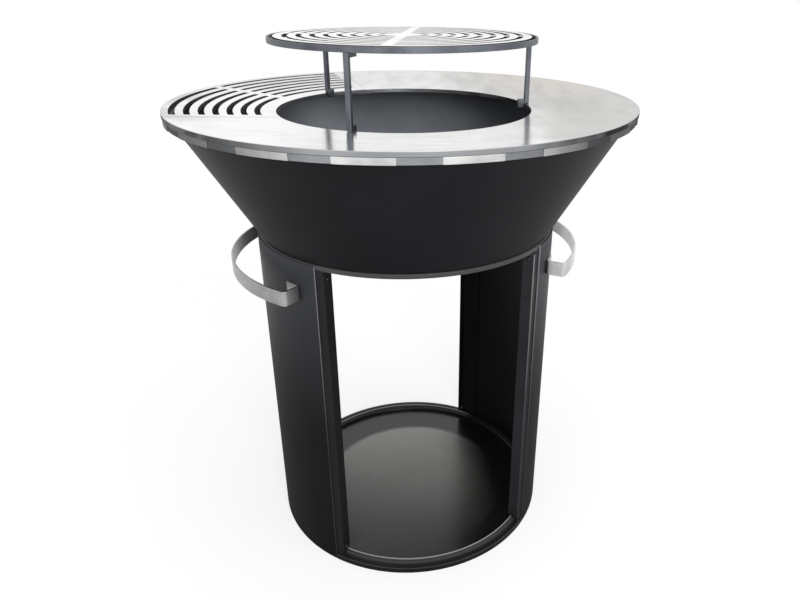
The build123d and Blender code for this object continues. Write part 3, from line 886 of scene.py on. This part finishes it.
# %% The handle's centre line
bar_thickness = 5 * mm
skin_radius = 342 * mm
tab_gap = 0.2 * mm
tab_length = 38 * mm
handle_stand_off = 44 * mm
handle_half_angle = 39.0
inner_bend = 3 * mm
handle_corner_radius = skin_radius + handle_stand_off
handle_reach, handle_low, handle_high = reach("right_handle")
tab_middle = skin_radius + tab_gap + bar_thickness / 2
tab_angle = degrees(tab_length / skin_radius)
bend_middle = inner_bend + bar_thickness / 2
corner = polar(handle_corner_radius, handle_half_angle)
bow_centre = (handle_reach ** 2 - handle_corner_radius ** 2) / (2 * (handle_reach - corner.x))
bow_radius = handle_reach - bow_centre - bar_thickness / 2
leg_offset = polar(bar_thickness / 2, handle_half_angle - 90.0)
leg_direction = polar(1.0, handle_half_angle)
tab_steps = 5
bow_steps = 56


def handle_line():
    """Half of the centre line in plan, from the tab's end to the bow, with its corners' rounding."""
    tab = [polar(tab_middle, handle_half_angle - tab_angle * (1 - step / tab_steps))
           for step in range(tab_steps)]
    foot = leg_direction * sqrt(tab_middle ** 2 - leg_offset.length ** 2) + leg_offset
    away = leg_offset - Vector((bow_centre, 0))
    along = leg_direction.dot(away)
    leg = sqrt(along ** 2 - away.length_squared + bow_radius ** 2) - along
    top = leg_direction * leg + leg_offset
    return [(*p, 0.0) for p in tab] + [(*foot, bend_middle), (*top, bend_middle)]


half_line = handle_line()
bow_half_angle = degrees(atan2(half_line[-1][1], half_line[-1][0] - bow_centre))
bow_turns = [bow_half_angle * (1 - 2 * step / bow_steps) for step in range(1, bow_steps)]
bow = [(bow_centre + p.x, p.y, 0.0) for p in (polar(bow_radius, turn) for turn in bow_turns)]
plan = half_line + bow + [(x, -y, rounding) for x, y, rounding in reversed(half_line)]
print("handle line:", len(plan), "points")

# %% Handles
half_bar = bar_thickness / 2
bar_corner, bar_edge = 0.8 * mm, 0.5 * mm
half_height = (handle_high - handle_low) / 2
bar_corners = [
    (x * half_bar, y * half_height, 0.0, bar_corner) for x, y in ((-1, -1), (1, -1), (1, 1), (-1, 1))
]
handle_level = (handle_low + handle_high) / 2
for side, hand, finish in (("right", 1, lit_right_handle_finish), ("left", -1, shaded_left_handle_finish)):
    turned = [(hand * x, hand * y, handle_level, rounding) for x, y, rounding in plan]
    line = loop_object(side + "_line", turned, closed=False)
    section = loop_object(side + "_section", bar_corners)
    handle = grow(
        side + "_bow_handle", bent_bar, Line=line, Section=section, Round_Steps=5, Finish=finish
    )
    dress(broken_edges(handle, bar_edge, limit=60.0), side + "_handle")

# %% [markdown]
# ## The rim under the plate
#
# Between the bowl and the plate lies a grey stainless ring, with eighteen thin bright pads on its outer
# face. One pad is rolled like any ring, only through a few degrees. A second tree then sets copies of
# it round the axis: points at the middle, each turned by its index times the step.

# %% The tree for rings of copies
def ring_of_copies_tree():
    """Tree that sets turned copies of a pattern round the axis."""
    tree, given = new_growth("Ring of copies", {
        "Pattern": "Object", "Count": "Int", "First": "Float", "Finish": "Material",
    })
    pattern = shape_of(tree, given["Pattern"])
    points = tree.node("GeometryNodePoints", {}, {"Count": given["Count"]})
    turn = given["First"] + tree.node("GeometryNodeInputIndex") * (tau / given["Count"])
    rotation = tree.node("ShaderNodeCombineXYZ", {}, {"Z": turn})
    copies = tree.node("GeometryNodeInstanceOnPoints", {}, {
        "Points": points, "Instance": pattern, "Rotation": rotation,
    })
    end_growth(tree, copies, given["Finish"])
    return tree


ring_of_copies = ring_of_copies_tree()
print("tree for rings of copies:", len(ring_of_copies.tree.nodes), "nodes")

# %% Rim ring and pads
rim_radius = reach("rim_ring")[0]
pad_radius = reach("rim_pads")[0]
rim_width = 18.6 * mm
rim_edge, pad_edge = 0.6 * mm, 0.4 * mm
plate_gap, pad_gap = 0.3 * mm, 0.1 * mm
pad_count = 18
pad_angle = 11.7
first_pad_bearing = -89.3


def rim_section(inner, outer, rounding):
    """Section between the bowl's flange and the dished plate."""
    return [
        (inner, bowl_top, rounding),
        (outer, bowl_top, rounding),
        (outer, plate_level(outer) - plate_thickness - plate_gap, rounding),
        (inner, plate_level(inner) - plate_thickness - plate_gap, rounding),
    ]


rim_ring = rolled("rim_hoop", rim_section(rim_radius - rim_width, rim_radius, rim_edge), land_finish)
dress(smooth(rim_ring), "rim_ring")
pad_section = rim_section(rim_radius + pad_gap, pad_radius, 0.0)
one_pad = broken_edges(rolled("one_pad", pad_section, pad_finish, -pad_angle / 2, pad_angle), pad_edge)
pads = grow(
    "bright_rim_pads", ring_of_copies, Pattern=one_pad, Count=pad_count,
    First=radians(first_pad_bearing), Finish=pad_finish,
)
dress(smooth(pads), "rim_pads")

# %% [markdown]
# ## The cooking plate
#
# The plate is a thick dished ring with about a quarter left out for the grate insert. It is the same
# rolled section, swept through the rest of the circle and closed with caps, whose edges are bevelled
# afterwards.

# %% Plate
insert_bearing = 146.0
insert_angle = 94.0
plate_edge_round = 0.8 * mm
cut_edge = 0.7 * mm
plate_section = [
    (hole_radius, plate_level(hole_radius) - plate_thickness, plate_edge_round),
    (plate_radius, plate_level(plate_radius) - plate_thickness, plate_edge_round),
    (plate_radius, plate_level(plate_radius), plate_edge_round),
    (hole_radius, plate_level(hole_radius), plate_edge_round),
]
first_cut = insert_bearing + insert_angle / 2
plate = rolled("ground_plate", plate_section, plate_finish, first_cut, 360.0 - insert_angle)
dress(broken_edges(plate, cut_edge), "cooking_plate")

# %% [markdown]
# ## Slotted plates
#
# The insert and the round grate are plates cut with concentric slots between straight spokes. Booleans
# would do it, and leave untidy faces. Here the rule itself makes the mesh: a grid whose rows become
# radii and whose columns become bearings. Every second row of cells is a slot, apart from the columns
# that fall on a spoke, and those cells are deleted before the sheet is pulled to its thickness.

# %% Rows become radii, columns become bearings
def row_radius(given, row, rows):
    """Radius of a row: the outer edge, then the two sides of each slot, then the inner edge."""
    pair = ((row - 1) / 2).does("FLOOR")
    odd = (row - 1).does("FLOORED_MODULO", 2.0)
    pitch = given["Slot"] + given["Bar"]
    in_slots = given["Outer Radius"] - given["Rim"] - pair * pitch - odd * given["Slot"]
    first = row < 0.5
    last = row > rows - 1.5
    between = in_slots * (1 - first) * (1 - last)
    return between + given["Outer Radius"] * first + given["Inner Radius"] * last


def column_bearing(given, column, group, radius):
    """Bearing of a column: its share of a sector, clear of the spokes and of the rims at the ends."""
    safe = radius.does("MAXIMUM", given["Hub Radius"])
    sector = ((column - 1) / group).does("FLOOR")
    step = (column - 1) - sector * group
    spoke = (given["Spoke Half"] / safe).does("ARCSINE")
    end_rim = (given["End Rim"] / safe).does("ARCSINE")
    at_start = sector < 0.5
    at_end = sector > given["Sectors"] - 1.5
    lead = spoke + at_start * (end_rim - spoke)
    trail = spoke + at_end * (end_rim - spoke)
    bearing = given["Start"] + sector * given["Sector"] + lead
    bearing = bearing + (given["Sector"] - lead - trail) * step / given["Columns"]
    low = bearing.does("MAXIMUM", given["Start"] - given["Whole"])
    return low.does("MINIMUM", given["End"] + given["Whole"])


print("rows and columns have their rules")

# %% The slotting tree
grid_merge = 0.01 * mm


def slotting_tree():
    """Tree that bends a grid into a slotted plate."""
    lengths = (
        "Outer Radius", "Rim", "Slot", "Bar", "Inner Radius", "Hub Radius", "Spoke Half", "End Rim",
        "Start", "Sector", "End", "Level", "Slope", "Thickness", "Whole",
    )
    tree, given = new_growth("Slotted plate", {
        "Slots": "Int", "Sectors": "Int", "Columns": "Int", **dict.fromkeys(lengths, "Float"),
        "Finish": "Material",
    })
    group = given["Columns"] + 1
    across = group * given["Sectors"] + 2 - given["Whole"]
    along = given["Slots"] * 2 + 2
    grid = tree.node("GeometryNodeMeshGrid", {}, {
        "Size X": across - 1, "Size Y": along - 1, "Vertices X": across, "Vertices Y": along,
    })
    place = tree.node("ShaderNodeSeparateXYZ", {}, [tree.node("GeometryNodeInputPosition")])
    column = place + (across - 1) / 2
    row = place.out("Y") + (along - 1) / 2
    on_slot_row = row.does("FLOOR").does("FLOORED_MODULO", 2.0) > 0.5
    off_spoke = column.does("FLOOR").does("FLOORED_MODULO", group) > 0.5
    cut = tree.node("GeometryNodeDeleteGeometry", {"domain": "FACE", "mode": "ALL"}, {
        "Geometry": grid, "Selection": on_slot_row * off_spoke,
    })
    radius = row_radius(given, row.does("ROUND"), along)
    bearing = column_bearing(given, column.does("ROUND"), group, radius)
    level = given["Level"] - given["Slope"] * (given["Outer Radius"] - radius)
    sheet = tree.node("GeometryNodeSetPosition", {}, {
        "Geometry": cut,
        "Position": tree.node("ShaderNodeCombineXYZ", {}, [
            radius * bearing.does("COSINE"), radius * bearing.does("SINE"), level,
        ]),
    })
    welded = tree.node("GeometryNodeMergeByDistance", {}, {"Geometry": sheet, "Distance": grid_merge})
    drop = tree.node("ShaderNodeCombineXYZ", {}, {"Z": 0 - given["Thickness"]})
    pulled = tree.node("GeometryNodeExtrudeMesh", {}, {
        "Mesh": welded, "Offset": drop, "Offset Scale": 1.0, "Individual": False,
    })
    joined = tree.node("GeometryNodeJoinGeometry")
    for part in (pulled, welded):
        tree.tree.links.new(part.socket, joined.socket.node.inputs[0])
    closed = tree.node("GeometryNodeMergeByDistance", {}, {"Geometry": joined, "Distance": grid_merge})
    end_growth(tree, closed, given["Finish"])
    return tree


slotted_plate = slotting_tree()
print("slotting tree:", len(slotted_plate.tree.nodes), "nodes")

# %% [markdown]
# ## The grate insert and the round grate
#
# Both run through the same tree. The insert is two sectors of a dished plate with wide rims at its two
# ends and one spoke between them. The round grate is four sectors of a flat disc that close on
# themselves round a plain hub.

# %% Insert and round grate
insert_seam = 1 * mm
insert_lift = 0.3 * mm
insert_half = radians(insert_angle / 2) - insert_seam / plate_radius
insert_middle = radians(insert_bearing)
insert = grow(
    "slotted_insert", slotted_plate, Slots=7, Sectors=2, Columns=44, Outer_Radius=plate_radius,
    Rim=14 * mm, Slot=12 * mm, Bar=15.5 * mm, Inner_Radius=hole_radius, Hub_Radius=hole_radius,
    Spoke_Half=10 * mm, End_Rim=24 * mm, Start=insert_middle - insert_half, Sector=insert_half,
    End=insert_middle + insert_half, Level=plate_edge_top + insert_lift,
    Slope=plate_dish / (plate_radius - hole_radius), Thickness=plate_thickness, Whole=0.0,
    Finish=plate_finish,
)
dress(broken_edges(insert, cut_edge), "grate_insert")
grate_spoke_bearing = radians(-108.7)
grate_edge = 0.6 * mm
grate = grow(
    "slotted_round_grate", slotted_plate, Slots=8, Sectors=4, Columns=40, Outer_Radius=grate_radius,
    Rim=18 * mm, Slot=11 * mm, Bar=17 * mm, Inner_Radius=0.0, Hub_Radius=30 * mm,
    Spoke_Half=10 * mm, End_Rim=10 * mm, Start=grate_spoke_bearing, Sector=pi / 2,
    End=grate_spoke_bearing + tau, Level=grate_top, Slope=0.0, Thickness=grate_top - grate_under,
    Whole=1.0, Finish=grate_finish,
)
dress(broken_edges(grate, grate_edge), "grate_disc")

# %% [markdown]
# ## The raised stand
#
# A flat-bar ring on three square legs keeps the round grate over the fire. The ring is rolled. Legs
# and lugs are short lengths of bar, so they are copies of the frame's blocks with broken edges.

# %% Stand
stand_bar = 5 * mm
lower_edge, upper_edge, leg_edge = 0.7 * mm, 0.9 * mm, 0.8 * mm
stand_ring = rolled("stand_hoop", [
    (stand_radius - stand_bar, stand_ring_under, lower_edge),
    (stand_radius, stand_ring_under, lower_edge),
    (stand_radius, stand_top, upper_edge),
    (stand_radius - stand_bar, stand_top, upper_edge),
], stand_finish)
dress(smooth(stand_ring), "stand_ring")
for node in ("front_stand_leg", "right_stand_leg", "rear_stand_leg", "grate_lugs", "hook_lugs"):
    bar = frame_copy(node, node + "_bar", stand_finish)
    dress(broken_edges(bar, leg_edge, steps=3, limit=30.0), node)

# %% [markdown]
# ## Weld beads
#
# Bars and lugs are welded. A bead is a tube along the joint whose thickness rises and falls with every
# puddle, so the tree resamples the joint line and lets a sine of the length drive the tube's scale.

# %% The welding tree
def welding_tree():
    """Tree that lays a rippled bead along joint lines."""
    tree, given = new_growth("Weld bead", {
        "Joints": "Object", "Radius": "Float", "Pitch": "Float", "Step": "Float", "Finish": "Material",
    })
    curve = tree.node("GeometryNodeMeshToCurve", {}, [shape_of(tree, given["Joints"])])
    path = tree.node("GeometryNodeResampleCurve", {"mode": "LENGTH"}, {
        "Curve": curve, "Length": given["Step"],
    })
    length = tree.node("GeometryNodeSplineParameter").out("Length")
    puddle = (length * pi / given["Pitch"]).does("SINE").does("ABSOLUTE")
    tube = tree.node("GeometryNodeCurvePrimitiveCircle", {}, {
        "Resolution": 10, "Radius": given["Radius"],
    })
    bead = tree.node("GeometryNodeCurveToMesh", {}, {
        "Curve": path, "Profile Curve": tube, "Scale": 0.78 + 0.22 * puddle, "Fill Caps": True,
    })
    end_growth(tree, bead, given["Finish"])
    return tree


weld_bead = welding_tree()
print("welding tree:", len(weld_bead.tree.nodes), "nodes")

# %% Beads on the stand
leg_bearings = {"front": -122.9, "right": -2.5, "rear": 120.6}
leg_inner = hole_radius - 1.2 * mm
leg_half = 5 * mm
lug_half = 4 * mm
hook_top = reach("hook_lugs")[2]
lug_under = reach("grate_lugs")[1]
seams = [
    (stand_radius - stand_bar, stand_ring_under, leg_half),
    (stand_radius, stand_ring_under, leg_half),
    (leg_inner, lug_under, lug_half),
    (leg_inner, hook_top, lug_half),
]
ends = []
for bearing in leg_bearings.values():
    turn = Matrix.Rotation(radians(bearing), 3, "Z")
    for radius, level, half in seams:
        ends += [turn @ Vector((radius, side * half, level)) for side in (-1, 1)]
joints = bpy.data.meshes.new("stand_joints")
joints.from_pydata(ends, [(index, index + 1) for index in range(0, len(ends), 2)], [])
joint_lines = new_object("stand_joints", joints)
beads = grow(
    "stand_weld_beads", weld_bead, Joints=joint_lines, Radius=1.3 * mm, Pitch=2.2 * mm,
    Step=0.35 * mm, Finish=stand_finish,
)
dress(smooth(beads), body="stand")

# %% Beads in round corners
def round_seam(name, radius, level, bead_radius, pitch, finish, body):
    """Weld bead round the axis, in the corner between a floor and a wall."""
    circle = loop_object(name + "_line", [
        (*polar(radius, 360 * step / whole_steps), level, 0.0) for step in range(whole_steps)
    ])
    bead = grow(
        name, weld_bead, Joints=circle, Radius=bead_radius, Pitch=pitch, Step=pitch / 4, Finish=finish
    )
    dress(smooth(bead), body=body)


round_seam(
    "bowl_floor_bead", bowl_base_radius - wall, bowl_under + bowl_sheet, 2.4 * mm, 7 * mm, bowl_coat,
    "bowl",
)
round_seam(
    "tray_corner_bead", tray_floor_radius, tray_top, 1.6 * mm, 9 * mm, tray_finish, "pedestal",
)

# %% [markdown]
# ## Pieces that stay as they are
#
# Screws, nuts, washers, lugs and ledges already have their real form in the frame. They stay, and only
# get a finish in place of the frame's plain colours.

# %% Finishes for the frame's own pieces
kept = {
    "post_screws": screw_finish,
    "post_nuts": zinc_finish,
    "handle_bolts": zinc_finish,
    "handle_washers": zinc_finish,
    "tray_ledge": drum_coat,
    "base_lugs": drum_coat,
    "top_lugs": drum_coat,
    "bowl_locator": bowl_coat,
    "insert_ledges": plate_finish,
    "plate_stops": plate_finish,
}
for node, finish in kept.items():
    for place in frame["nodes"][node].material_slots:
        place.material = finish
print("finished", len(kept), "kept nodes")

# %% [markdown]
# ## Floor and light
#
# The floor is a pale disc that fades into the white of the world, so no horizon shows, and it keeps
# the barbecue's soft shadow. The world is white where the camera, a reflection or glass looks at it,
# and dimmer as a light, so that four soft boxes can shape the drum: one overhead and three in front.

# %% Floor
white = (1, 1, 1, 1)


def seen(tree):
    """1 for rays that show the world as it looks: the camera's, reflections and glass."""
    path = tree.node("ShaderNodeLightPath")
    shown = path.out("Is Camera Ray").does("MAXIMUM", path.out("Is Glossy Ray"))
    return shown.does("MAXIMUM", path.out("Is Transmission Ray"))


def floor_finish():
    """Pale floor that turns into the white world away from the object."""
    material = bpy.data.materials.new("pale_floor")
    material.use_nodes = True
    material.node_tree.nodes.clear()
    tree = Tree(material.node_tree)
    place = tree.node("ShaderNodeTexCoord").out("Object")
    away = tree.measure("LENGTH", place).ramp(0.7, 2.2)
    grey = tree.node("ShaderNodeBsdfDiffuse", {}, {"Color": (0.42, 0.42, 0.42, 1.0)})
    direct = tree.node("ShaderNodeLightPath").out("Is Camera Ray")
    glow = tree.node("ShaderNodeEmission", {}, {"Color": white, "Strength": 0.7 * direct})
    near = tree.node("ShaderNodeAddShader", {}, [grey, glow])
    far = tree.node("ShaderNodeEmission", {}, {"Color": white, "Strength": 0.3 + 0.7 * seen(tree)})
    tree.node("ShaderNodeOutputMaterial", {}, [tree.node("ShaderNodeMixShader", {}, [away, near, far])])
    return material


floor_radius = 8.0
disc = bmesh.new()
bmesh.ops.create_circle(disc, cap_ends=True, segments=96, radius=floor_radius)
floor = new_object("floor")
disc.to_mesh(floor.data)
disc.free()
floor.data.materials.append(floor_finish())
print("floor", 2 * floor_radius, "m across")

# %% World and soft boxes
world = bpy.data.worlds.new("white_studio")
bpy.context.scene.world = world
world.use_nodes = True
world.node_tree.nodes.clear()
air = Tree(world.node_tree)
backdrop = air.node("ShaderNodeBackground", {}, {"Color": white, "Strength": 0.5 + 0.5 * seen(air)})
air.node("ShaderNodeOutputWorld", {}, [backdrop])


def soft_box(name, place, aim, size, power):
    """Square area light that looks at a point."""
    light = bpy.data.lights.new(name, "AREA")
    light.size = size
    light.energy = power
    lamp = bpy.data.objects.new(name, light)
    lamp.location = place
    lamp.rotation_euler = (Vector(aim) - Vector(place)).to_track_quat("-Z", "Y").to_euler()
    bpy.context.collection.objects.link(lamp)


bowl_middle, drum_upper = (0.0, 0.0, 0.9), (0.0, 0.0, 0.7)
soft_box("overhead_box", (0.2, 0.1, 3.4), bowl_middle, size=2.4, power=26.0)
soft_box("front_box", (0.0, -2.9, 1.75), bowl_middle, size=1.1, power=32.0)
soft_box("front_right_box", (2.4, -2.6, 1.5), drum_upper, size=1.6, power=17.0)
soft_box("front_left_box", (-2.3, -2.2, 1.2), drum_upper, size=1.2, power=9.0)
print("lights:", [light.name for light in bpy.data.lights])

# %% [markdown]
# ## The camera
#
# The camera stands at the front left and looks down over the plate. Its place, its lens and its shift
# come from edges measured in the 800 by 600 picture: a principal point away from the middle means that
# the picture was cropped, and the shift puts the crop back.

# %% Camera
picture_width, picture_height = 800, 600
focal_pixels = 667.93
principal_x, principal_y = 448.19, 279.5
camera_place = Vector((-0.3058, -1.4727, 1.2815))
camera_view = Vector((0.2439, 0.8795, -0.4087))
camera_roll = 0.009
lens = bpy.data.cameras.new("photo_camera")
lens.sensor_width = 36.0
lens.lens = focal_pixels / picture_width * lens.sensor_width
lens.shift_x = (picture_width / 2 - principal_x) / picture_width
lens.shift_y = (principal_y - picture_height / 2) / picture_width
camera = bpy.data.objects.new("photo_camera", lens)
aim = camera_view.to_track_quat("-Z", "Y").to_matrix().to_4x4()
roll = Matrix.Rotation(camera_roll, 4, "Z")
camera.matrix_world = Matrix.Translation(camera_place) @ aim @ roll
bpy.context.collection.objects.link(camera)
bpy.context.scene.camera = camera
bpy.context.scene.view_settings.view_transform = "Standard"
print("camera lens", round(lens.lens, 2), "mm")
